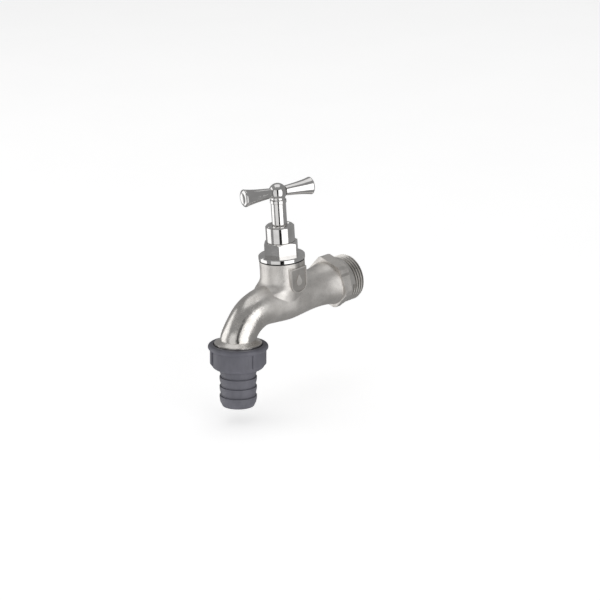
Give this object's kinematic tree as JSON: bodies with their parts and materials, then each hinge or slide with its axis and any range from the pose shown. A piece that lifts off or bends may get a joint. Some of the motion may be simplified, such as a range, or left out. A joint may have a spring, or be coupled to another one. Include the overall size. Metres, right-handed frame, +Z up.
{
  "type": "hose bib",
  "caption": "Wall-mounted hose bib with a tee handle, curved spout, screw-down valve, union nut and barbed hose tail.",
  "frame": {"origin": "centre of the inlet thread's shoulder plane, on the inlet axis", "axes": "+Y runs along the inlet into the wall, +Z is up, and the spout points along -Y"},
  "size_m": [0.0332, 0.1035, 0.1183],
  "materials": {
    "cast_nickel": "satin nickel-chrome plate on cast brass",
    "polished_chrome": "polished",
    "dark_plastic": "moulded, satin",
    "black_fibre": "matt",
    "rubber": "matt",
    "packing": "greased graphite cord",
    "brass": "machined"
  },
  "bodies": {
    "tap": {"tap_body": "cast_nickel", "bonnet": "polished_chrome", "bonnet_gasket": "black_fibre", "gland_nut": "polished_chrome", "gland_follower": "brass", "packing_ring_upper": "packing", "packing_ring_lower": "packing", "packing_seat_washer": "brass"},
    "jumper": {"jumper_valve": "brass", "seat_washer": "rubber", "washer_plate": "brass", "washer_nut": "brass"},
    "spindle": {"spindle": "polished_chrome", "handle_hub": "polished_chrome", "handle_arm_near": "polished_chrome", "handle_arm_far": "polished_chrome"},
    "seal": {"tail_seal": "rubber"},
    "union_nut": {"union_nut": "dark_plastic"},
    "hose_tail": {"hose_tail": "dark_plastic"}
  },
  "joints": [
    {"name": "jumper_lift", "type": "slide", "parent": "tap", "child": "jumper", "axis": [0, 0, 1], "range_m": [0, 0.006]},
    {"name": "spindle_turn", "type": "hinge", "parent": "jumper", "child": "spindle", "pos_m": [0, -0.039, 0.05], "axis": [0, 0, 1], "range_deg": [0, 1080]},
    {"name": "union_drop", "type": "slide", "parent": "tap", "child": "seal", "axis": [0, -0.0872, -0.9962], "range_m": [0, 0.00726]},
    {"name": "union_nut_turn", "type": "hinge", "parent": "seal", "child": "union_nut", "pos_m": [0, -0.07536, -0.01582], "axis": [0, -0.0872, -0.9962], "range_deg": [0, 1440]},
    {"name": "tail_swivel", "type": "hinge", "parent": "seal", "child": "hose_tail", "pos_m": [0, -0.07536, -0.01582], "axis": [0, -0.0872, -0.9962], "continuous": true}
  ],
  "couplings": [
    {"joint": "jumper_lift", "follows": "spindle_turn", "m_per_rad": 0.0003183},
    {"joint": "union_drop", "follows": "union_nut_turn", "m_per_rad": 0.0002887}
  ]
}
